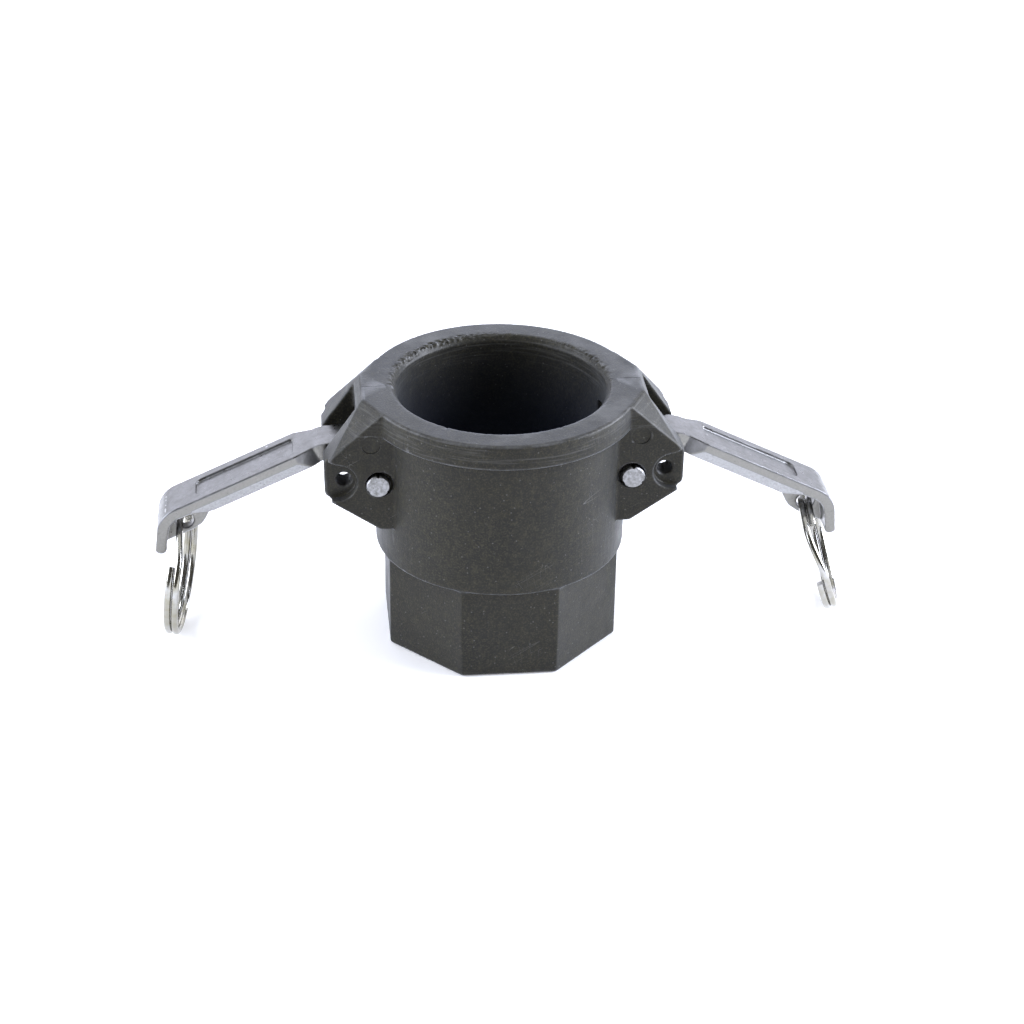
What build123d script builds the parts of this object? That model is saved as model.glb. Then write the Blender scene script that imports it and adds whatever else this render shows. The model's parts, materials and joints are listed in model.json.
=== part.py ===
"""Cam-and-groove hose coupling, 50 mm (2 inch) size: a female socket with two cam arms on top of a
female pipe thread.  Millimetres, +Z up along the bore, X along the two arms, origin on the bore's
axis in the plane of the octagon's foot."""

import os
from math import cos, radians, sin, tan

from build123d import *

# ---- coupler body ------------------------------------------------------------------------------
BODY_HEIGHT = 83.1
SOCKET_R = 32.0  # takes a 63.1 mm adapter
MOUTH_R = 33.5
MOUTH_CHAMFER = 1.9
BARREL_R = 38.7
RIM_R = 41.9
RIM_TOP_R = 41.5
RIM_HEIGHT = 7.7
RIM_ROUND = 0.5
RIM_STEP_DROP = 0.6  # the rim's underside slopes in to the barrel
OCTAGON_FLATS = 70.8
OCTAGON_TOP = 30.75
OCTAGON_EDGE_ROUND = 0.8
OCTAGON_FOOT_ROUND = 0.9

# ---- ears that carry the arms ------------------------------------------------------------------
EAR_OUTER = 19.0  # half width over a pair of ears
SLOT_HALF = 8.2
EAR_REACH = 54.6
EAR_BOTTOM = 44.0
EAR_INNER_X = 22.0  # the ear block starts inside the barrel wall
ROOF_X = 42.6
ROOF_SLOPE = 1.43
RIDGE_X = 36.9
RIDGE_FOOT = (51.7, 69.6)
CHIN_OUTER_Z = 55.05
CHIN_INNER_X = 38.5
SLOT_X = 44.4
SLOT_INNER_X = 37.5  # the folded arm's slot in the barrel, under the pin
SLOT_SWEEP_R = 14.6
EAR_ROUND = 0.7
CHIN_ROUND = 1.8
RECESS_CENTRE = (50.8, 60.5)
RECESS_R = 6.0
RECESS_FLARE = (1.0, 2.0)  # how much the recess opens out below and above
RECESS_FLOOR = 15.9
CLIP_HOLE = (48.75, 60.2)
CLIP_HOLE_R = 2.3
MARK_CENTRE = (40.6, 73.1)
MARK_R = 2.9
MARK_DEPTH = 0.25
OVERCUT = 1.0  # how far a cutting shape runs past the face it leaves by
RIDGE_LAP = 0.1

# ---- gasket seat, waterway and pipe thread -----------------------------------------------------
SEAT_R = 33.4
SEAT_BOTTOM = 29.15
SEAT_TOP = 35.65
WATERWAY_R = 25.5
THREAD_TOP = 25.0
THREAD_MINOR_R = 28.33  # G 2
THREAD_MAJOR_R = 29.81
THREAD_PITCH = 2.309
THREAD_HALF_ANGLE = 27.5
THREAD_TURNS = 9
THREAD_START = 2.6  # height of the lowest groove
THREAD_OVERLAP = 0.5
THREAD_MOUTH_R = 30.6
THREAD_MOUTH_DEPTH = 2.0
GASKET_OUTER_R = 33.3
GASKET_INNER_R = 25.6
GASKET_HEIGHT = 6.35
GASKET_ROUND = 0.6
SAME = 0.01  # two positions closer than this are one

# ---- pivot pins --------------------------------------------------------------------------------
PIVOT_X = 38.6
PIVOT_Z = 59.2
PIN_R = 3.58
PIN_HOLE_R = 3.6
PIN_END = 19.8
PIN_CHAMFER = 0.35
PIN_GROOVES = 3
PIN_GROOVE_R = 0.55
RELIEF_R = 4.15
RELIEF_OFFSET = 0.45
RELIEF_DEPTH = 1.3

# ---- cam arms, drawn with the pivot at (0, 0) and the arm along +X -----------------------------
ARM_HOLE_R = 3.66
HUB_R = 6.3
CAM_CENTRE = 4.4
CAM_R = 6.0
CAM_FLAT = 6.2
CAM_FLAT_ANGLE = 205.5
HUB_HALF = 7.8
NECK_HALF = 6.0
NECK_OUTLINE = [
    (1.3, 5.9),
    (2.6, 8.8),
    (3.4, 10.6),
    (8.6, 12.9),
    (10.4, 13.6),
    (12.6, 14.1),
    (18.0, 14.3),
    (21.0, 14.75),
    (21.0, 8.6),
    (17.4, 8.6),
    (9.8, 8.75),
    (6.9, 8.45),
    (5.4, 6.0),
    (5.4, 2.4),
    (0, 0),
]
BAR_HALF = 8.0
BAR_TOP = 14.75
BAR_BOTTOM = 8.6
BAR_START = 14.6
BAR_START_TOP = 14.2
BAR_FULL_X = 21.0  # from here on the bar has its full height
BAR_DRAFT_RISE = 3.4  # the lower part of each side leans in to the underside
BAR_DRAFT_IN = 1.1
FLARE_END = 20.6  # the bar widens from the neck up to here
HOOK_FOOT_X = 51.0
HOOK_ROOT = (57.0, 11.1)
HOOK_CENTRE = (61.2, 5.1)
HOOK_OUTER_R = 9.65
HOOK_INNER_R = 6.15
HOOK_SWEEP = 60.0
HOOK_TIP = (71.1, 4.4)
HOOK_TIP_R = 1.85
POCKET_NEAR = 20.4
POCKET_FAR = 54.0
POCKET_HALF = 4.6
POCKET_CORNER = 2.4
POCKET_DEPTH = 0.8
LUG_HALF = 1.8
LUG_HOLE = (61.7, 7.15)
LUG_HOLE_R = 2.8
LUG_OUTLINE = [
    (50.9, 9.6),
    (52.2, 7.4),
    (55.9, 4.5),
    (57.6, 3.5),
    (60.8, 2.95),
    (69.3, 3.1),
    (69.3, 6.0),
    (64.0, 12.0),
    (54.0, 12.0),
]
LEFT_DROOP = 24.6  # how far below level each arm stands
RIGHT_DROOP = 26.35

# ---- pull rings --------------------------------------------------------------------------------
RING_R = 19.1
RING_WIRE_R = 1.08
RING_LAYER = 1.11
RING_STEP = 58.0  # degrees over which the wire crosses from one turn to the other
RING_STEP_SECTIONS = 10
LEFT_RING_HANG = (6.4, 8.0)  # lean outwards and turn about the vertical, in degrees
RIGHT_RING_HANG = (17.5, 7.6)
LEFT_RING_END = 57.0
RIGHT_RING_END = 93.0


def slab(outline, y_low, y_high):
    """A plate between two Y planes with the given closed outline in X and Z."""
    face = Plane.XZ.offset(-y_high) * make_face(outline)
    return extrude(face, amount=y_high - y_low)


def plate(points, y_low, y_high):
    return slab(Polyline(*points, close=True), y_low, y_high)


def cross_rod(x, z, radius, y_low, y_high):
    """A cylinder along Y."""
    return Pos(x, (y_low + y_high) / 2, z) * Rot(90, 0, 0) * Cylinder(radius, y_high - y_low)


def turned(points):
    """A solid of revolution about Z from points (radius, height)."""
    return revolve(Plane.XZ * make_face(Polyline(*points, close=True)), Axis.Z)


# ---- the body ----------------------------------------------------------------------------------
def octagon_foot():
    outline = RegularPolygon(OCTAGON_FLATS / 2, 8, major_radius=False, rotation=22.5)
    foot = extrude(outline, amount=OCTAGON_TOP + OVERCUT)
    foot = fillet(foot.edges().filter_by(Axis.Z), OCTAGON_EDGE_ROUND)
    return fillet(foot.faces().sort_by(Axis.Z)[0].outer_wire().edges(), OCTAGON_FOOT_ROUND)


def barrel():
    rim_low = BODY_HEIGHT - RIM_HEIGHT
    shell = turned(
        [
            (0, OCTAGON_TOP),
            (BARREL_R, OCTAGON_TOP),
            (BARREL_R, rim_low - RIM_STEP_DROP),
            (RIM_R, rim_low),
            (RIM_TOP_R, BODY_HEIGHT),
            (0, BODY_HEIGHT),
        ]
    )
    circles = shell.edges().filter_by(GeomType.CIRCLE)
    rim_edges = [e for e in circles if e.radius > RIM_TOP_R - SAME]
    shell = fillet(rim_edges, RIM_ROUND)
    circles = shell.edges().filter_by(GeomType.CIRCLE)
    foot_edge = [e for e in circles if abs(e.center().Z - OCTAGON_TOP) < SAME]
    return fillet(foot_edge, RIM_ROUND)


def roof_z(x):
    return BODY_HEIGHT - ROOF_SLOPE * (x - ROOF_X)


def ear_block():
    """Both ears on the +X side as one block, with its roof, two facets and chin."""
    block = plate(
        [
            (EAR_INNER_X, EAR_BOTTOM),
            (CHIN_INNER_X, EAR_BOTTOM),
            (EAR_REACH, CHIN_OUTER_Z),
            (EAR_REACH, roof_z(EAR_REACH)),
            (ROOF_X, BODY_HEIGHT),
            (EAR_INNER_X, BODY_HEIGHT),
        ],
        -EAR_OUTER,
        EAR_OUTER,
    )
    chin = Vector(EAR_REACH, 0, CHIN_OUTER_Z)
    cross_edges = block.edges().filter_by(Axis.Y)
    block = fillet([e for e in cross_edges if (e.center() - chin).length < SAME], CHIN_ROUND)
    for side in (-1, 1):
        inner = Vector(ROOF_X, side * (SLOT_HALF + RIDGE_LAP), BODY_HEIGHT)
        along = Vector(RIDGE_X, side * EAR_OUTER, BODY_HEIGHT) - inner
        down = Vector(RIDGE_FOOT[0], side * EAR_OUTER, RIDGE_FOOT[1]) - inner
        normal = along.cross(down)
        if normal.Z < 0:
            normal = -normal
        block = split(block, Plane(inner, z_dir=normal), keep=Keep.BOTTOM)
    buried_x = (EAR_INNER_X + SOCKET_R) / 2
    outside = [e for e in block.edges() if e.center().X > buried_x]
    outside = [e for e in outside if e.center().Z > EAR_BOTTOM + EAR_ROUND]
    return fillet(outside, EAR_ROUND)


def arm_slot():
    """The gap between the +X ears, with the sweep that clears the cam."""
    low, high = EAR_BOTTOM - OVERCUT, BODY_HEIGHT + OVERCUT
    outer = [(SLOT_X, low), (EAR_REACH + OVERCUT, low), (EAR_REACH + OVERCUT, high), (SLOT_X, high)]
    inner = [
        (SLOT_INNER_X, low),
        (SLOT_X + OVERCUT, low),
        (SLOT_X + OVERCUT, PIVOT_Z),
        (SLOT_INNER_X, PIVOT_Z),
    ]
    slot = plate(outer, -SLOT_HALF, SLOT_HALF) + plate(inner, -SLOT_HALF, SLOT_HALF)
    return slot + cross_rod(PIVOT_X, PIVOT_Z, SLOT_SWEEP_R, -SLOT_HALF, SLOT_HALF)


def outside_cut(side, floor, shape):
    """A shape drawn between two Y planes, from its floor out past the ear's outer face."""
    near, far = sorted((side * floor, side * (EAR_OUTER + OVERCUT)))
    return shape(near, far)


def clip_recess(near, far):
    x, z = RECESS_CENTRE
    below, above = RECESS_FLARE
    mouth = [
        (x, z - RECESS_R),
        (EAR_REACH + OVERCUT, z - RECESS_R - below),
        (EAR_REACH + OVERCUT, z + RECESS_R + above),
        (x, z + RECESS_R),
    ]
    return cross_rod(x, z, RECESS_R, near, far) + plate(mouth, near, far)


def pin_relief(near, far):
    return cross_rod(PIVOT_X - RELIEF_OFFSET, PIVOT_Z + RELIEF_OFFSET, RELIEF_R, near, far)


def ejector_mark(near, far):
    return cross_rod(*MARK_CENTRE, MARK_R, near, far)


def ear_cuts():
    """What is taken out of the +X ears: arm slot, holes, clip recesses and ejector marks."""
    through = EAR_OUTER + OVERCUT
    cuts = arm_slot()
    cuts += cross_rod(*CLIP_HOLE, CLIP_HOLE_R, -through, through)
    cuts += cross_rod(PIVOT_X, PIVOT_Z, PIN_HOLE_R, -through, through)
    for side in (-1, 1):
        cuts += outside_cut(side, RECESS_FLOOR, clip_recess)
        cuts += outside_cut(side, EAR_OUTER - RELIEF_DEPTH, pin_relief)
        cuts += outside_cut(side, EAR_OUTER - MARK_DEPTH, ejector_mark)
    return cuts


def thread_groove(height):
    """One V groove of the pipe thread."""
    inner = THREAD_MINOR_R - THREAD_OVERLAP
    half = (THREAD_MAJOR_R - inner) * tan(radians(THREAD_HALF_ANGLE))
    return turned([(inner, height - half), (THREAD_MAJOR_R, height), (inner, height + half)])


def bore_cut():
    """Socket, gasket seat, waterway and threaded port in one turned core."""
    core = turned(
        [
            (0, -OVERCUT),
            (THREAD_MOUTH_R + OVERCUT, -OVERCUT),
            (THREAD_MOUTH_R, 0),
            (THREAD_MINOR_R, THREAD_MOUTH_DEPTH),
            (THREAD_MINOR_R, THREAD_TOP),
            (WATERWAY_R, THREAD_TOP),
            (WATERWAY_R, SEAT_BOTTOM),
            (SEAT_R, SEAT_BOTTOM),
            (SEAT_R, SEAT_TOP),
            (SOCKET_R, SEAT_TOP),
            (SOCKET_R, BODY_HEIGHT - MOUTH_CHAMFER),
            (MOUTH_R, BODY_HEIGHT),
            (MOUTH_R, BODY_HEIGHT + OVERCUT),
            (0, BODY_HEIGHT + OVERCUT),
        ]
    )
    for turn in range(THREAD_TURNS):
        core += thread_groove(THREAD_START + turn * THREAD_PITCH)
    return core


def coupler_body():
    body = octagon_foot() + barrel()
    ears, cuts = ear_block(), ear_cuts()
    for turn in (0, 180):
        body += Rot(0, 0, turn) * ears
    body -= bore_cut()
    for turn in (0, 180):
        body -= Rot(0, 0, turn) * cuts
    return body


def face_gasket():
    ring = turned(
        [
            (GASKET_INNER_R, SEAT_BOTTOM),
            (GASKET_OUTER_R, SEAT_BOTTOM),
            (GASKET_OUTER_R, SEAT_BOTTOM + GASKET_HEIGHT),
            (GASKET_INNER_R, SEAT_BOTTOM + GASKET_HEIGHT),
        ]
    )
    return fillet(ring.edges().filter_by(GeomType.CIRCLE), GASKET_ROUND)


def pivot_pin(side):
    """A grooved pin, driven through the ears; side is +1 or -1 along X."""
    pin = Rot(90, 0, 0) * Cylinder(PIN_R, 2 * PIN_END)
    pin = chamfer(pin.edges().filter_by(GeomType.CIRCLE), PIN_CHAMFER)
    for turn in range(PIN_GROOVES):
        angle = radians(90 + turn * 360 / PIN_GROOVES)
        x, z = PIN_R * cos(angle), PIN_R * sin(angle)
        pin -= cross_rod(x, z, PIN_GROOVE_R, -PIN_END - OVERCUT, PIN_END + OVERCUT)
    return Pos(side * PIVOT_X, 0, PIVOT_Z) * pin


# ---- the arms ----------------------------------------------------------------------------------
def cam_hub():
    """The round hub and its cam lobe, with the flat that clears the bore when the arm is open."""
    hub = cross_rod(0, 0, HUB_R, -HUB_HALF, HUB_HALF)
    hub += cross_rod(0, -CAM_CENTRE, CAM_R, -HUB_HALF, HUB_HALF)
    hub += plate(
        [
            (-HUB_R, 0),
            (-CAM_R, -CAM_CENTRE),
            (CAM_R, -CAM_CENTRE),
            (HUB_R, 0),
        ],
        -HUB_HALF,
        HUB_HALF,
    )
    away = Vector(cos(radians(CAM_FLAT_ANGLE)), 0, sin(radians(CAM_FLAT_ANGLE)))
    return split(hub, Plane(away * CAM_FLAT, z_dir=away), keep=Keep.BOTTOM)


def neck():
    """The bent neck between hub and bar, hollowed below to clear the safety clip."""
    return plate(NECK_OUTLINE, -NECK_HALF, NECK_HALF)


def on_circle(centre, radius, angle):
    """A point on a circle in X and Z, with the angle from +X towards +Z."""
    return (centre[0] + radius * cos(radians(angle)), centre[1] + radius * sin(radians(angle)))


def hook_outline():
    """The bar's side view: straight, then round the finger hook at the far end."""
    leave_angle = 90 - HOOK_SWEEP
    half_way = (90 + leave_angle) / 2
    top = on_circle(HOOK_CENTRE, HOOK_OUTER_R, 90)
    outer_mid = on_circle(HOOK_CENTRE, HOOK_OUTER_R, half_way)
    leave = on_circle(HOOK_CENTRE, HOOK_OUTER_R, leave_angle)
    enter = on_circle(HOOK_CENTRE, HOOK_INNER_R, leave_angle)
    inner_mid = on_circle(HOOK_CENTRE, HOOK_INNER_R, half_way)
    inner_top = on_circle(HOOK_CENTRE, HOOK_INNER_R, 90)
    tip_out = on_circle(HOOK_TIP, HOOK_TIP_R, 0)
    tip_low = on_circle(HOOK_TIP, HOOK_TIP_R, -90)
    tip_in = on_circle(HOOK_TIP, HOOK_TIP_R, 180)
    return Curve() + [
        Line((BAR_FULL_X, BAR_TOP), top),
        ThreePointArc(top, outer_mid, leave),
        Line(leave, tip_out),
        ThreePointArc(tip_out, tip_low, tip_in),
        Line(tip_in, enter),
        ThreePointArc(enter, inner_mid, inner_top),
        Line(inner_top, HOOK_ROOT),
        Line(HOOK_ROOT, (HOOK_FOOT_X, BAR_BOTTOM)),
        Line((HOOK_FOOT_X, BAR_BOTTOM), (BAR_START, BAR_BOTTOM)),
        Line((BAR_START, BAR_BOTTOM), (BAR_START, BAR_START_TOP)),
        Line((BAR_START, BAR_START_TOP), (BAR_FULL_X, BAR_TOP)),
    ]


def side_draft(side):
    """The wedge taken off the lower part of one side of the bar."""
    y = side * BAR_HALF
    section = [
        (y, BAR_BOTTOM + BAR_DRAFT_RISE),
        (y - side * BAR_DRAFT_IN, BAR_BOTTOM),
        (y - side * BAR_DRAFT_IN, BAR_BOTTOM - OVERCUT),
        (y + side * OVERCUT, BAR_BOTTOM - OVERCUT),
        (y + side * OVERCUT, BAR_BOTTOM + BAR_DRAFT_RISE),
    ]
    start = BAR_START - OVERCUT
    face = Plane.YZ.offset(start) * make_face(Polyline(*section, close=True))
    return extrude(face, amount=HOOK_ROOT[0] - start)


def arm_bar():
    bar = slab(hook_outline(), -BAR_HALF, BAR_HALF)
    for side in (-1, 1):
        bar -= side_draft(side)
        bar -= flare_cut(side)
    pocket = Pos((POCKET_NEAR + POCKET_FAR) / 2, 0, BAR_TOP) * Box(
        POCKET_FAR - POCKET_NEAR, 2 * POCKET_HALF, 2 * POCKET_DEPTH
    )
    far_corners = pocket.edges().filter_by(Axis.Z).sort_by(Axis.X)[2:]
    return bar - fillet(far_corners, POCKET_CORNER)


def flare_cut(side):
    """What is taken off one side of the bar so that it widens smoothly from the neck."""
    plan = [
        (BAR_START, side * NECK_HALF),
        (FLARE_END, side * BAR_HALF),
        (FLARE_END, side * (BAR_HALF + OVERCUT)),
        (BAR_START - OVERCUT, side * (BAR_HALF + OVERCUT)),
        (BAR_START - OVERCUT, side * NECK_HALF),
    ]
    low = BAR_BOTTOM - OVERCUT
    face = Plane.XY.offset(low) * make_face(Polyline(*plan, close=True))
    return extrude(face, amount=BAR_TOP + OVERCUT - low)


def ring_lug():
    """The web under the hook, with the ring's hole."""
    lug = plate(LUG_OUTLINE, -LUG_HALF, LUG_HALF)
    return lug - cross_rod(*LUG_HOLE, LUG_HOLE_R, -LUG_HALF - OVERCUT, LUG_HALF + OVERCUT)


def cam_arm(side, droop):
    arm = cam_hub() + neck() + arm_bar() + ring_lug()
    arm -= cross_rod(0, 0, ARM_HOLE_R, -HUB_HALF - OVERCUT, HUB_HALF + OVERCUT)
    turn = 0 if side > 0 else 180
    return Rot(0, 0, turn) * Pos(PIVOT_X, 0, PIVOT_Z) * Rot(0, droop, 0) * arm


# ---- the rings ---------------------------------------------------------------------------------
def wire_section(angle, layer):
    """The wire's round section at an angle from the ring's top, towards -Y."""
    a = radians(angle)
    centre = Vector(layer, -RING_R * sin(a), RING_R * cos(a))
    along = Vector(0, -cos(a), -sin(a))
    return Plane(centre, x_dir=(1, 0, 0), z_dir=along) * Circle(RING_WIRE_R)


def wire_turn(start, sweep, layer):
    """One flat turn of the wire, from a start angle through a sweep."""
    return revolve(wire_section(start, layer), Axis((0, 0, 0), (1, 0, 0)), sweep)


def split_ring(end):
    """Two flat turns of wire with an S-shaped step between them, its centre at the origin."""
    sweep = 360 - RING_STEP
    ring = wire_turn(end, sweep, RING_LAYER) + wire_turn(end, sweep, -RING_LAYER)
    sections = []
    for i in range(RING_STEP_SECTIONS + 1):
        share = i / RING_STEP_SECTIONS
        across = -RING_LAYER * cos(radians(180 * share))
        sections.append(wire_section(end - RING_STEP * (1 - share), across))
    return ring + loft(sections)


def pull_ring(side, droop, hang, end):
    """A split ring that hangs in the hole of its arm's lug."""
    lean, turn = hang
    hole_x, hole_z = LUG_HOLE
    down = radians(droop)
    x = PIVOT_X + hole_x * cos(down) + hole_z * sin(down)
    z = PIVOT_Z - hole_x * sin(down) + hole_z * cos(down)
    hung = Pos(0, 0, -RING_R) * split_ring(end)
    return Pos(side * x, 0, z) * Rot(0, -side * lean, 0) * Rot(0, 0, -turn) * hung


def main():
    os.makedirs("parts", exist_ok=True)
    nodes = {
        "coupler_body": coupler_body(),
        "face_gasket": face_gasket(),
        "pivot_pin_left": pivot_pin(-1),
        "pivot_pin_right": pivot_pin(1),
        "cam_arm_left": cam_arm(-1, LEFT_DROOP),
        "cam_arm_right": cam_arm(1, RIGHT_DROOP),
        "pull_ring_left": pull_ring(-1, LEFT_DROOP, LEFT_RING_HANG, LEFT_RING_END),
        "pull_ring_right": pull_ring(1, RIGHT_DROOP, RIGHT_RING_HANG, RIGHT_RING_END),
    }
    for name, shape in nodes.items():
        export_step(shape, f"parts/{name}.step")


main()
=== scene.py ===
"""The looks of the cam-and-groove coupling: a glass-filled plastic body with a moulded pipe thread, cast
steel arms, grooved pins and bright wire rings, under soft light on a pale floor.  Metres, +Z up along the
bore, X along the two arms."""

import json
import math

import bmesh
import bpy
from mathutils import Matrix, Vector, noise


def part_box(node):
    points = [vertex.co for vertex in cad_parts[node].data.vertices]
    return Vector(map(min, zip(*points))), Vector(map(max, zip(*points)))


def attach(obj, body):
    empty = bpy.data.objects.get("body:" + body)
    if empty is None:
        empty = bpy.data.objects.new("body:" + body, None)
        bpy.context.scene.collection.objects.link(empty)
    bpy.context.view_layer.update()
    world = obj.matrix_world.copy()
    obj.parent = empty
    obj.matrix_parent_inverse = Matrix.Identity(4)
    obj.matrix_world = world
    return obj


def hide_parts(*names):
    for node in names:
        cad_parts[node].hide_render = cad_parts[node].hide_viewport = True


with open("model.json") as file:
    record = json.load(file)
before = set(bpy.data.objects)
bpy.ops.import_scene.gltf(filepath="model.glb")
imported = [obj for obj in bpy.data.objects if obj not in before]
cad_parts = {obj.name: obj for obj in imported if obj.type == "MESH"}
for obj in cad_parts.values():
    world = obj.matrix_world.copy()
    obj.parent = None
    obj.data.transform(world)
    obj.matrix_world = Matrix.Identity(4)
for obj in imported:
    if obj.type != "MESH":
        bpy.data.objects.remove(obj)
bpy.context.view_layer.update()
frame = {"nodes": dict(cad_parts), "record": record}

MM = 0.001

# ---- camera, fitted to the object's own circles and corners ------------------------------------
CAMERA_PLACE = Vector((-0.06450, -0.62107, 0.39989))
CAMERA_AZIMUTH = -6.289  # degrees, as are the next two
CAMERA_ELEVATION = 30.126
CAMERA_ROLL = 0.944
CAMERA_LENS = 81.03  # millimetres, as is the sensor's width
SENSOR = 36.0

# ---- the body's main sizes, read from the frame ------------------------------------------------
MOUNTS = {mount["name"]: mount for mount in frame["record"]["mounts"]}
SOCKET_R = MOUNTS["adapter_socket"]["dims"]["r_mm"] * MM
THREAD_CREST_R = MOUNTS["thread_port"]["dims"]["r_mm"] * MM
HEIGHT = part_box("coupler_body")[1][2]
EAR_FACE_Y = 19.0 * MM

# ---- grids that the body and arms are rebuilt on, to round their edges -------------------------
BODY_VOXEL, BODY_PASSES, BODY_FACES = 0.42 * MM, 2, 185000
ARM_VOXEL, ARM_PASSES, ARM_FACES = 0.26 * MM, 3, 120000
SHARP_DEGREES = 40.0  # faces that meet at a sharper angle keep a hard edge in the shading

# ---- ejector marks above the pins, and the seam across the rim ---------------------------------
MARK_X, MARK_Z = 40.6 * MM, 73.1 * MM
MARK_R = 2.95 * MM
MARK_DEPTH = 0.32 * MM
SEAM_HALF = 0.11 * MM
SEAM_INNER_X, SEAM_OUTER_X = 33.0 * MM, 46.0 * MM
SEAM_DEPTH = {1: 0.45 * MM, -1: 0.22 * MM}  # on the right and on the left

# ---- torn flash and chips on the mouth's upper edge --------------------------------------------
MOUTH_R = 33.5 * MM
FLASH_DEPTH = 1.9 * MM
FLASH_BAND = 1.7 * MM  # how far from the edge the flash spreads
FLASH_TEETH = 17.0  # unevennesses per radian, about one in two millimetres
FLASH_RAISED = 0.25  # unevenness below this stands up as flash, and above it is torn away
FLASH_SWAY = 1.7  # unevennesses sideways, for each one up and down
FLASH_PLACES = [(132.0, 38.0, 1.0), (30.0, 30.0, 0.4)]  # angle, spread in degrees, share
FLASH_LEAST = 0.08
CHIP_DEPTH = 0.5 * MM
CHIP_GRAIN = 1400.0  # unevennesses of a chip's floor per metre
CHIPS = [(-124.0, 1.3), (-64.0, 0.7), (14.0, 1.2), (27.0, 0.9), (158.0, 1.5)]  # angle, half width

# ---- floor, backdrop and light -----------------------------------------------------------------
FLOOR_Z = -0.15 * MM  # a hair under the foot
FLOOR_REACH = 6.0
BACKDROP_R = 2.4
BACKDROP_TOP = 4.0
BACKDROP_SUNK = 0.1  # how far it goes below the floor
BACKDROP_SIDES = 96
AIR_COLOUR, AIR_STRENGTH = (1.0, 0.97, 0.90, 1.0), 0.12
LIGHTS_AIM = (0, 0, 0.04)
LIGHTS = [  # name, place, width and height, watts, colour
    ("overhead", (0, 0.3, 2.0), (3.0, 3.0), 30.0, (0.94, 0.96, 1.0)),
    ("back", (0, 2.3, 1.05), (4.2, 1.8), 54.0, (0.86, 0.88, 1.0)),
    ("left", (-2.0, 0.0, 0.8), (2.0, 1.4), 88.0, (0.84, 0.88, 1.0)),
    ("right", (2.0, 0.0, 0.8), (2.0, 1.4), 138.0, (0.84, 0.88, 1.0)),
]

# ---- moulded pipe thread -----------------------------------------------------------------------
THREAD_PITCH = 2.309 * MM
THREAD_DEPTH = 1.48 * MM
THREAD_TOP = 25.0 * MM
THREAD_RUNOUT = 2.6 * MM
THREAD_FLAT = 0.16  # share of the pitch that is flat on each crest and each root
THREAD_MOUTH_R = 30.6 * MM  # of the bevel, and of the plain hole cut for the thread
THREAD_MOUTH_DEPTH = 2.0 * MM
THREAD_WALL_R = 31.2 * MM
THREAD_CAP = 0.02 * MM  # keeps the cut hole's end and middle clear of the thread's own faces
THREAD_STEPS_ROUND = 192
THREAD_STEPS_UP = 130


# ---- mesh helpers ------------------------------------------------------------------------------
def new_piece(name, mesh):
    piece = bpy.data.objects.new(name, mesh)
    bpy.context.scene.collection.objects.link(piece)
    return piece


def mesh_of(bm, name):
    """Turns a bmesh into a mesh and frees it."""
    mesh = bpy.data.meshes.new(name)
    bm.to_mesh(mesh)
    bm.free()
    return mesh


def apply_modifiers(piece):
    """Replaces a piece's mesh with what its modifiers make of it."""
    bpy.context.view_layer.update()
    shown = piece.evaluated_get(bpy.context.evaluated_depsgraph_get())
    mesh = bpy.data.meshes.new_from_object(shown)
    piece.modifiers.clear()
    piece.data = mesh
    return piece


def copy_of(node, name):
    """A new piece with a CAD node's mesh, its doubled corner points welded."""
    piece = new_piece(name, frame["nodes"][node].data.copy())
    piece.data.materials.clear()
    weld = piece.modifiers.new("weld", "WELD")
    weld.merge_threshold = 0.002 * MM
    return apply_modifiers(piece)


def join_mesh(piece, other):
    """Adds another closed mesh to a piece."""
    bm = bmesh.new()
    bm.from_mesh(piece.data)
    bm.from_mesh(other)
    bm.to_mesh(piece.data)
    bm.free()


def cut(piece, tool):
    """Takes a closed tool mesh away from a piece."""
    cutter = new_piece(piece.name + "_cutter", tool)
    boolean = piece.modifiers.new("cut", "BOOLEAN")
    boolean.operation = "DIFFERENCE"
    boolean.solver = "EXACT"
    boolean.object = cutter
    apply_modifiers(piece)
    bpy.data.objects.remove(cutter)


def remesh(piece, voxel, passes):
    """Rebuilds a piece on a fine grid and rounds its edges."""
    grid = piece.modifiers.new("grid", "REMESH")
    grid.mode = "VOXEL"
    grid.voxel_size = voxel
    round_off = piece.modifiers.new("round_off", "SMOOTH")
    round_off.factor = 0.5
    round_off.iterations = passes
    apply_modifiers(piece)


def thin(piece, faces):
    """Collapses flat stretches of a rebuilt mesh, which is all quads, to a number of triangles."""
    fewer = piece.modifiers.new("fewer", "DECIMATE")
    fewer.ratio = min(1.0, faces / (2 * len(piece.data.polygons)))
    apply_modifiers(piece)


def shade_smooth(piece):
    """Smooth shading, broken where two faces meet at a sharp angle."""
    for polygon in piece.data.polygons:
        polygon.use_smooth = True
    piece.data.set_sharp_from_angle(angle=math.radians(SHARP_DEGREES))
    flat = piece.modifiers.new("flat", "WEIGHTED_NORMAL")
    flat.keep_sharp = True
    apply_modifiers(piece)


def surface_of_revolution(rows, steps):
    """A closed ring mesh from rows, each a function of the angle that gives a radius and a height."""
    bm = bmesh.new()
    grid = []
    for row in rows:
        line = []
        for step in range(steps):
            angle = 2 * math.pi * step / steps
            radius, height = row(angle)
            line.append(bm.verts.new((radius * math.cos(angle), radius * math.sin(angle), height)))
        grid.append(line)
    for row in range(len(grid)):
        after = (row + 1) % len(grid)
        for step in range(steps):
            beside = (step + 1) % steps
            bm.faces.new((grid[row][step], grid[row][beside], grid[after][beside], grid[after][step]))
    bmesh.ops.recalc_face_normals(bm, faces=bm.faces)
    return mesh_of(bm, "ring")


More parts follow.
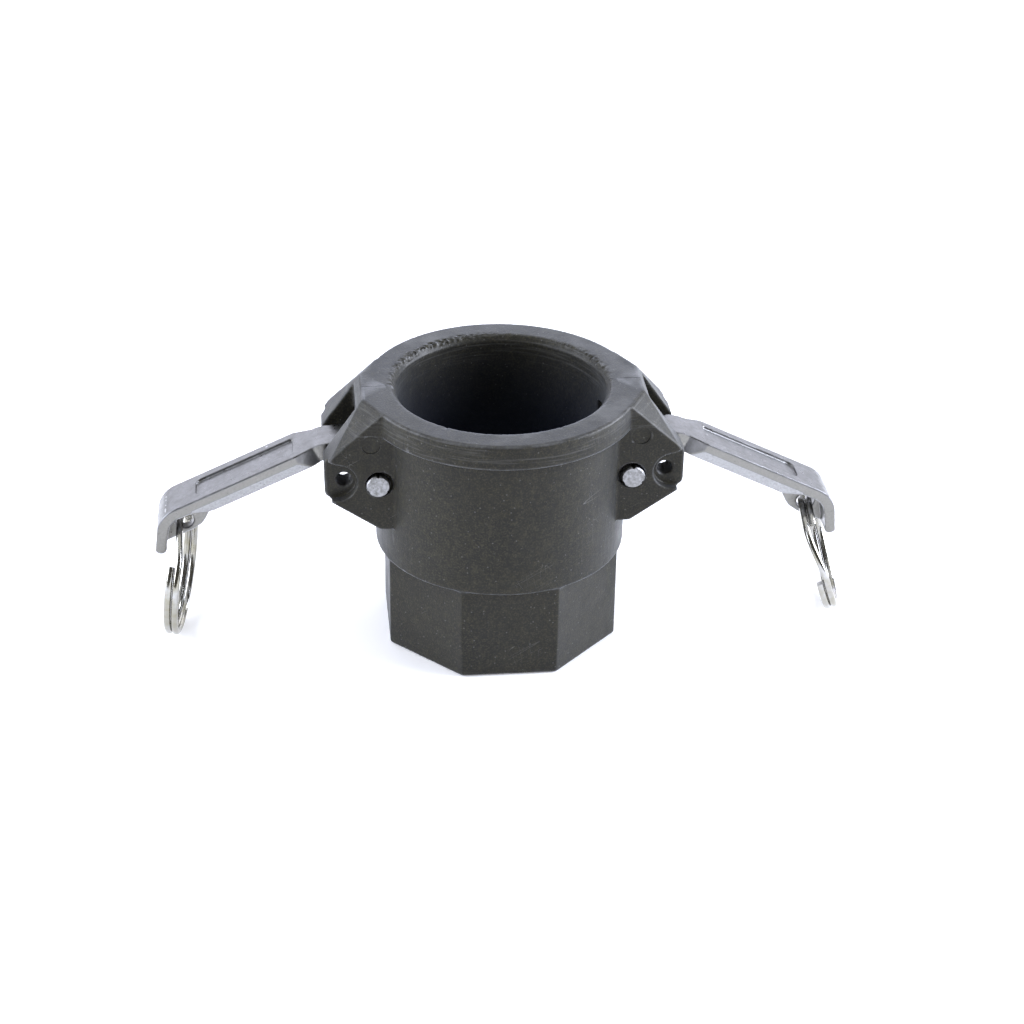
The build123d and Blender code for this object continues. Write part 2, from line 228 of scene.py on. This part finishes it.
# ---- the moulded thread ------------------------------------------------------------------------
def thread_form(share):
    """Depth of the V groove, from 0 at the crest to 1 at the root, along one pitch."""
    slope = abs(2 * (share % 1.0) - 1)
    return min(1.0, max(0.0, (slope - THREAD_FLAT) / (1 - 2 * THREAD_FLAT)))


def thread_radius(angle, height):
    """The port's wall radius, with a right-hand helix, its run-out and the bevel at the mouth."""
    fade = min(1.0, max(0.0, (THREAD_TOP - height) / THREAD_RUNOUT))
    groove = thread_form(height / THREAD_PITCH - angle / (2 * math.pi))
    radius = THREAD_CREST_R + THREAD_DEPTH * groove * fade
    slope = (THREAD_MOUTH_R - THREAD_CREST_R) / THREAD_MOUTH_DEPTH
    return max(radius, THREAD_MOUTH_R - slope * height)


def thread_ring():
    """The threaded wall of the port, closed behind by a plain one."""
    rows = []
    for step in range(THREAD_STEPS_UP + 1):
        height = THREAD_TOP * step / THREAD_STEPS_UP
        rows.append(lambda angle, height=height: (thread_radius(angle, height), height))
    rows.append(lambda angle: (THREAD_WALL_R, THREAD_TOP))
    rows.append(lambda angle: (THREAD_WALL_R, 0.0))
    return surface_of_revolution(rows, THREAD_STEPS_ROUND)


def port_cutter():
    """The plain hole that makes room for the moulded thread."""
    rows = [
        lambda angle: (THREAD_CAP, -1 * MM),
        lambda angle: (THREAD_MOUTH_R, -1 * MM),
        lambda angle: (THREAD_MOUTH_R, THREAD_TOP - THREAD_CAP),
        lambda angle: (THREAD_CAP, THREAD_TOP - THREAD_CAP),
    ]
    return surface_of_revolution(rows, THREAD_STEPS_ROUND)


def flash_share(angle):
    """How much torn flash sits on the mouth's upper edge: most of it at the back left."""
    shares = [share * math.exp(-(((angle - at) / spread) ** 2)) for at, spread, share in FLASH_PLACES]
    return max(FLASH_LEAST, *shares)


def chip_depth(angle, point):
    """How deep the edge is chipped at an angle."""
    deepest = 0.0
    for place, half in CHIPS:
        off = abs((angle - place + 180.0) % 360.0 - 180.0) / half
        if off < 1.0:
            rough = 0.7 + 0.5 * noise.noise(point * CHIP_GRAIN)
            deepest = max(deepest, CHIP_DEPTH * (1.0 - off * off) * rough)
    return deepest


def tear_mouth(piece):
    """Ragged flash on the mouth's upper edge, and a few chips in it."""
    for vertex in piece.data.vertices:
        point = vertex.co
        depth = HEIGHT - point.z
        radius = math.hypot(point.x, point.y)
        near_edge = max(0.0, 1.0 - math.hypot(radius - MOUTH_R, depth) / FLASH_BAND)
        if near_edge == 0.0:
            continue
        angle = math.atan2(point.y, point.x)
        outward = Vector((point.x, point.y, 0)) / radius
        ragged = noise.turbulence(outward * FLASH_TEETH + Vector((0, 0, radius / MM)), 3, True)
        torn = FLASH_DEPTH * near_edge * flash_share(math.degrees(angle)) * (ragged - FLASH_RAISED)
        bite = chip_depth(math.degrees(angle), point) * near_edge
        sideways = outward * (noise.noise(outward * FLASH_TEETH * FLASH_SWAY) * torn)
        vertex.co = point + sideways - Vector((0, 0, torn + bite))


def box_mesh(low, high):
    bm = bmesh.new()
    bmesh.ops.create_cube(bm, size=1.0)
    for vertex in bm.verts:
        vertex.co = [low[i] + (vertex.co[i] + 0.5) * (high[i] - low[i]) for i in range(3)]
    return mesh_of(bm, "box")


def disc_mesh(x, z, y_low, y_high, radius):
    """A short cylinder along Y."""
    bm = bmesh.new()
    turned = Matrix.Translation((x, (y_low + y_high) / 2, z)) @ Matrix.Rotation(math.pi / 2, 4, "X")
    bmesh.ops.create_cone(
        bm,
        cap_ends=True,
        segments=64,
        radius1=radius,
        radius2=radius,
        depth=y_high - y_low,
        matrix=turned,
    )
    return mesh_of(bm, "disc")


def mould_marks():
    """Cutters for the ejector marks above the pins and for the seam across the rim, as one mesh."""
    tools = []
    for x_side in (-1, 1):
        for y_side in (-1, 1):
            floor, out = EAR_FACE_Y - MARK_DEPTH, EAR_FACE_Y + MM
            y_low, y_high = sorted((y_side * floor, y_side * out))
            tools.append(disc_mesh(x_side * MARK_X, MARK_Z, y_low, y_high, MARK_R))
        x_low, x_high = sorted((x_side * SEAM_INNER_X, x_side * SEAM_OUTER_X))
        low = (x_low, -SEAM_HALF, HEIGHT - SEAM_DEPTH[x_side])
        tools.append(box_mesh(low, (x_high, SEAM_HALF, HEIGHT + MM)))
    bm = bmesh.new()
    for tool in tools:
        bm.from_mesh(tool)
    return mesh_of(bm, "mould_marks")


def make_body():
    body = copy_of("coupler_body", "moulded_body")
    cut(body, port_cutter())
    join_mesh(body, thread_ring())
    remesh(body, BODY_VOXEL, BODY_PASSES)
    tear_mouth(body)
    thin(body, BODY_FACES)
    cut(body, mould_marks())
    shade_smooth(body)
    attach(body, "coupler")
    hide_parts("coupler_body")
    return body


def make_arm(side):
    arm = copy_of("cam_arm_" + side, "cast_arm_" + side)
    remesh(arm, ARM_VOXEL, ARM_PASSES)
    thin(arm, ARM_FACES)
    shade_smooth(arm)
    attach(arm, side + "_arm")
    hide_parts("cam_arm_" + side)
    return arm


# ---- materials: noise scales are per metre, and grey levels are linear -------------------------
class Look:
    """A material made of nodes, with short calls for the nodes that are used here."""

    def __init__(self, name):
        self.material = bpy.data.materials.new(name)
        self.material.use_nodes = True
        self.tree = self.material.node_tree
        self.shader = self.tree.nodes["Principled BSDF"]
        self.place = self.tree.nodes.new("ShaderNodeTexCoord").outputs["Object"]

    def node(self, kind, inputs=None, **settings):
        made = self.tree.nodes.new(kind)
        for key, value in settings.items():
            setattr(made, key, value)
        for key, value in (inputs or {}).items():
            self.put(made.inputs[key], value)
        return made

    def put(self, socket, value):
        """Links a socket, or sets it to a number or colour."""
        if isinstance(value, bpy.types.NodeSocket):
            self.tree.links.new(value, socket)
        else:
            socket.default_value = value

    def stretched(self, scale):
        """Object coordinates in metres, scaled along each axis."""
        return self.node("ShaderNodeMapping", {"Vector": self.place, "Scale": scale}).outputs[0]

    def noise(self, scale, detail=3.0, rough=0.5, vector=None):
        inputs = {"Vector": vector or self.place, "Scale": scale, "Detail": detail, "Roughness": rough}
        return self.node("ShaderNodeTexNoise", inputs).outputs["Fac"]

    def cells(self, scale):
        """Distance from the nearest of many scattered points."""
        inputs = {"Vector": self.place, "Scale": scale}
        return self.node("ShaderNodeTexVoronoi", inputs).outputs["Distance"]

    def span(self, value, low, high, to_low=0.0, to_high=1.0):
        """Maps low to to_low and high to to_high, and stops there."""
        inputs = {"Value": value, "From Min": low, "From Max": high, "To Min": to_low, "To Max": to_high}
        return self.node("ShaderNodeMapRange", inputs).outputs[0]

    def math(self, operation, first, second=0.0):
        return self.node("ShaderNodeMath", {0: first, 1: second}, operation=operation).outputs[0]

    def mix(self, share, first, second):
        made = self.node("ShaderNodeMix", {"Factor": share}, data_type="RGBA")
        self.put(made.inputs["A"], first)
        self.put(made.inputs["B"], second)
        return made.outputs["Result"]

    def axis(self, name):
        return self.node("ShaderNodeSeparateXYZ", {0: self.place}).outputs[name]

    def radius(self):
        """Distance from the bore's axis."""
        flat = self.stretched((1.0, 1.0, 0.0))
        return self.node("ShaderNodeVectorMath", {0: flat}, operation="LENGTH").outputs["Value"]

    def slope(self, name):
        """One part of the surface's direction, in the piece's own frame."""
        facing = self.node("ShaderNodeTexCoord").outputs["Normal"]
        return self.node("ShaderNodeSeparateXYZ", {0: facing}).outputs[name]

    def scratch(self, scale, turn):
        """Thin broken lines, 1 on a line and 0 beside it."""
        turned = self.node("ShaderNodeMapping", {"Vector": self.place, "Rotation": (turn, turn, 0.0)})
        long = self.node("ShaderNodeMapping", {"Vector": turned.outputs[0], "Scale": scale}).outputs[0]
        off = self.math("ABSOLUTE", self.math("SUBTRACT", self.noise(1.0, 0.0, 0.0, long), 0.5))
        line = self.span(off, 0.004, 0.001)
        kept = self.span(self.noise(85.0, 2.0), 0.60, 0.66)
        return self.math("MULTIPLY", line, kept)

    def edges(self, low, high):
        """Pointiness mapped from low to high: 1 on sharp outside edges, which are lighter from wear and a
        painted edge highlight, or, with low above high, 1 in creases, which get painted shade.
        """
        return self.span(self.node("ShaderNodeNewGeometry").outputs["Pointiness"], low, high)

    def bump(self, height, strength, distance, below=None):
        made = self.node("ShaderNodeBump", {"Height": height, "Strength": strength, "Distance": distance})
        if below is not None:
            self.put(made.inputs["Normal"], below)
        return made.outputs[0]

    def finish(self, **sockets):
        """Fills the shader's sockets, named with _ for a space."""
        for key, value in sockets.items():
            self.put(self.shader.inputs[key.replace("_", " ")], value)
        return self.material


def grey(level, warm=0.0):
    """A nearly neutral colour; warm tints it towards olive, a negative value towards blue."""
    return (level * (1 + warm), level * (1 + warm * 0.6), level * (1 - warm), 1.0)


def plastic():
    look = Look("glass_filled_plastic")
    cloud = look.noise(48.0, 5.0, 0.62)
    mottle = look.noise(420.0, 4.0, 0.65)
    fibre = look.noise(1900.0, 2.0, 0.6)
    base = look.mix(look.span(cloud, 0.35, 0.68), grey(0.006, 0.40), grey(0.010, 0.40))
    base = look.mix(look.span(mottle, 0.48, 0.72, 0.0, 0.45), base, grey(0.024, 0.40))
    base = look.mix(look.span(fibre, 0.50, 0.72, 0.0, 0.50), base, grey(0.040, 0.34))
    base = look.mix(look.span(fibre, 0.46, 0.30, 0.0, 0.55), base, grey(0.005, 0.05))
    speck = look.span(look.cells(430.0), 0.13, 0.04, 0.0, 0.6)
    base = look.mix(speck, base, grey(0.11, 0.03))
    # flow lines of the glass fibre round the rim
    flow = look.noise(1.0, 3.0, 0.6, look.stretched((60.0, 60.0, 1700.0)))
    rim = look.span(look.axis("Z"), HEIGHT - 9.0 * MM, HEIGHT - 7.0 * MM)
    streak = look.math("MULTIPLY", look.span(flow, 0.52, 0.66, 0.0, 0.45), rim)
    base = look.mix(streak, base, grey(0.070, 0.06))
    inside = look.span(look.radius(), SOCKET_R + 1.2 * MM, SOCKET_R + 0.4 * MM)
    outside = look.math("SUBTRACT", 1.0, inside)
    # hairline scratches, short and broken, at two slants
    slanted = look.scratch((9.0, 9.0, 420.0), 0.5)
    upright = look.scratch((330.0, 330.0, 12.0), 0.25)
    marks = look.math("MULTIPLY", look.math("MAXIMUM", slanted, upright), outside)
    base = look.mix(look.math("MULTIPLY", marks, 0.35), base, grey(0.22, 0.02))
    # sharp outside edges lighter, broken up by noise: partly wear, partly a painted edge highlight
    rub_and_highlight = look.span(look.noise(150.0, 3.0), 0.38, 0.62, 0.15, 0.9)
    base = look.mix(look.math("MULTIPLY", look.edges(0.515, 0.565), rub_and_highlight), base, grey(0.15, -0.02))
    # painted shade: the bore is darker the deeper it goes
    painted_bore_shade = look.span(look.axis("Z"), HEIGHT - 4.0 * MM, HEIGHT - 34.0 * MM, 0.10, 0.95)
    base = look.mix(look.math("MULTIPLY", inside, painted_bore_shade), base, grey(0.012, -0.55))
    rough = look.span(look.noise(160.0, 4.0), 0.3, 0.7, 0.36, 0.52)
    grain = look.bump(fibre, 0.60, 0.09 * MM)
    fine = look.bump(mottle, 0.35, 0.14 * MM, grain)
    scored = look.bump(marks, -0.3, 0.05 * MM, fine)
    return look.finish(
        Base_Color=base,
        Roughness=rough,
        Normal=scored,
        IOR=1.5,
        Specular_IOR_Level=0.22,
        Sheen_Weight=0.16,
        Sheen_Roughness=0.45,
        Sheen_Tint=(0.72, 0.80, 1.0, 1.0),
    )


def cast_steel():
    look = Look("tumbled_cast_steel")
    patch = look.noise(230.0, 4.0, 0.62)
    base = look.mix(look.span(patch, 0.35, 0.7), grey(0.22, -0.02), grey(0.16, -0.01))
    # painted reflection by facing: upper faces, matt from the tumbling, keep the plain base colour; the
    # drafted faces below the parting line, which tilt a little downward, are made much lighter as a
    # painted reflection of the bright floor under them, and the upright sides above it warmer as a
    # painted reflection of the dimmer floor in front
    level = look.slope("Z")
    painted_underside_reflection = look.span(level, -0.12, -0.22)
    base = look.mix(painted_underside_reflection, base, grey(0.40, -0.02))
    # painted reflection: upright sides warmer, for the dimmer floor in front
    side = look.span(look.math("ABSOLUTE", level), 0.14, 0.05)
    base = look.mix(look.math("MULTIPLY", side, 0.85), base, grey(0.23, 0.05))
    pits = look.span(look.cells(420.0), 0.16, 0.03, 0.0, 0.6)
    base = look.mix(pits, base, grey(0.12, 0.06))
    fleck = look.span(look.noise(1500.0, 3.0, 0.6), 0.40, 0.66, 0.0, 0.35)
    base = look.mix(fleck, base, grey(0.15, 0.04))
    # painted shade: creases and hollows darker and warmer
    base = look.mix(look.edges(0.47, 0.42), base, grey(0.10, 0.14))
    # sharp outside edges lighter: partly wear, partly a painted edge highlight
    base = look.mix(look.edges(0.555, 0.64), base, grey(0.50, -0.02))
    rough = look.span(look.noise(620.0, 3.0), 0.3, 0.7, 0.26, 0.42)
    pebble = look.bump(look.noise(1100.0, 3.0, 0.55), 0.40, 0.09 * MM)
    wave = look.bump(look.noise(170.0, 2.0), 0.30, 0.35 * MM, pebble)
    return look.finish(Base_Color=base, Roughness=rough, Normal=wave, Metallic=1.0)


def pin_steel():
    look = Look("sheared_pin_steel")
    patch = look.noise(800.0, 4.0, 0.65)
    base = look.mix(look.span(patch, 0.35, 0.65), grey(0.31, -0.02), grey(0.17, 0.01))
    pits = look.span(look.cells(900.0), 0.26, 0.05, 0.0, 0.75)
    base = look.mix(pits, base, grey(0.12, 0.06))
    rough = look.span(patch, 0.3, 0.7, 0.28, 0.48)
    scuff = look.bump(look.noise(1300.0, 3.0), 0.9, 0.14 * MM)
    return look.finish(Base_Color=base, Roughness=rough, Normal=scuff, Metallic=1.0)


def ring_steel():
    look = Look("bright_wire_steel")
    patch = look.noise(420.0, 3.0)
    base = look.mix(look.span(patch, 0.3, 0.7), grey(0.46, 0.0), grey(0.32, 0.09))
    tarnish = look.span(look.noise(95.0, 3.0, 0.6), 0.46, 0.64, 0.0, 0.65)
    base = look.mix(tarnish, base, grey(0.24, 0.20))
    rough = look.span(look.noise(1500.0, 3.0), 0.3, 0.7, 0.10, 0.22)
    drawn = look.bump(look.noise(1300.0, 3.0), 0.15, 0.03 * MM)
    return look.finish(Base_Color=base, Roughness=rough, Normal=drawn, Metallic=1.0)


def gasket_rubber():
    look = Look("gasket_rubber")
    bloom = look.noise(300.0, 4.0, 0.6)
    base = look.mix(look.span(bloom, 0.35, 0.7), grey(0.012), grey(0.022))
    rough = look.span(bloom, 0.3, 0.7, 0.50, 0.68)
    grain = look.bump(look.noise(2400.0, 2.0), 0.3, 0.04 * MM)
    return look.finish(Base_Color=base, Roughness=rough, Normal=grain)


def wear(piece, material):
    """Gives a piece one material."""
    if not piece.data.materials:
        piece.data.materials.append(material)
    for slot in piece.material_slots:
        slot.link = "OBJECT"
        slot.material = material


# ---- studio ------------------------------------------------------------------------------------
def plain(name, colour, roughness, glow):
    """A plain studio surface, lit a little from within like a light table."""
    look = Look(name)
    cloud = look.span(look.noise(3.0), 0.3, 0.7, 0.0, 0.02)
    tint = look.mix(cloud, colour, (1.0, 1.0, 1.0, 1.0))
    return look.finish(Base_Color=tint, Roughness=roughness, Emission_Color=tint, Emission_Strength=glow)


def make_floor():
    corners = [(-1, -1), (1, -1), (1, 1), (-1, 1)]
    places = [(x * FLOOR_REACH, y * FLOOR_REACH, FLOOR_Z) for x, y in corners]
    mesh = bpy.data.meshes.new("floor")
    mesh.from_pydata(places, [], [(0, 1, 2, 3)])
    floor = new_piece("floor", mesh)
    wear(floor, plain("pale_floor", (0.92, 0.92, 0.93, 1.0), 0.9, glow=0.22))


def make_backdrop():
    """A pale round wall that only the camera sees, so that it doesn't change the light."""
    bm = bmesh.new()
    rings = []
    for height in (FLOOR_Z - BACKDROP_SUNK, BACKDROP_TOP):
        ring = []
        for step in range(BACKDROP_SIDES):
            angle = 2 * math.pi * step / BACKDROP_SIDES
            place = (BACKDROP_R * math.cos(angle), BACKDROP_R * math.sin(angle), height)
            ring.append(bm.verts.new(place))
        rings.append(ring)
    for step in range(BACKDROP_SIDES):
        beside = (step + 1) % BACKDROP_SIDES
        bm.faces.new((rings[0][step], rings[0][beside], rings[1][beside], rings[1][step]))
    wall = new_piece("backdrop", mesh_of(bm, "backdrop"))
    wear(wall, plain("pale_wall", (1.0, 1.0, 1.0, 1.0), 0.9, glow=1.0))
    wall.visible_diffuse = False
    wall.visible_glossy = False
    wall.visible_shadow = False


def area_light(name, place, size, power, colour):
    data = bpy.data.lights.new(name, "AREA")
    data.shape = "RECTANGLE"
    data.size, data.size_y = size
    data.energy = power
    data.color = colour
    light = bpy.data.objects.new(name, data)
    bpy.context.scene.collection.objects.link(light)
    light.location = place
    light.rotation_euler = (Vector(LIGHTS_AIM) - Vector(place)).to_track_quat("-Z", "Y").to_euler()
    light.visible_camera = False


def make_lights():
    world = bpy.data.worlds.new("studio")
    bpy.context.scene.world = world
    world.use_nodes = True
    air = world.node_tree.nodes["Background"]
    air.inputs["Color"].default_value = AIR_COLOUR
    air.inputs["Strength"].default_value = AIR_STRENGTH
    for light in LIGHTS:
        area_light(*light)


def make_camera():
    azimuth = math.radians(CAMERA_AZIMUTH)
    elevation = math.radians(CAMERA_ELEVATION)
    roll = math.radians(CAMERA_ROLL)
    back = Vector(
        (
            math.sin(azimuth) * math.cos(elevation),
            -math.cos(azimuth) * math.cos(elevation),
            math.sin(elevation),
        )
    )
    level = Vector((math.cos(azimuth), math.sin(azimuth), 0))
    up = back.cross(level)
    right = level * math.cos(roll) + up * math.sin(roll)
    turned = Matrix((right, back.cross(right), back)).transposed().to_4x4()
    data = bpy.data.cameras.new("camera")
    data.lens = CAMERA_LENS
    data.sensor_width = SENSOR
    camera = bpy.data.objects.new("camera", data)
    bpy.context.scene.collection.objects.link(camera)
    camera.matrix_world = Matrix.Translation(CAMERA_PLACE) @ turned
    bpy.context.scene.camera = camera


# ---- putting it together -----------------------------------------------------------------------
make_camera()
make_lights()
make_floor()
make_backdrop()
wear(make_body(), plastic())
steel = cast_steel()
for side in ("left", "right"):
    wear(make_arm(side), steel)
wire = ring_steel()
pin = pin_steel()
for side in ("left", "right"):
    wear(frame["nodes"]["pull_ring_" + side], wire)
    wear(frame["nodes"]["pivot_pin_" + side], pin)
wear(frame["nodes"]["face_gasket"], gasket_rubber())

bpy.context.scene.view_settings.view_transform = "Standard"
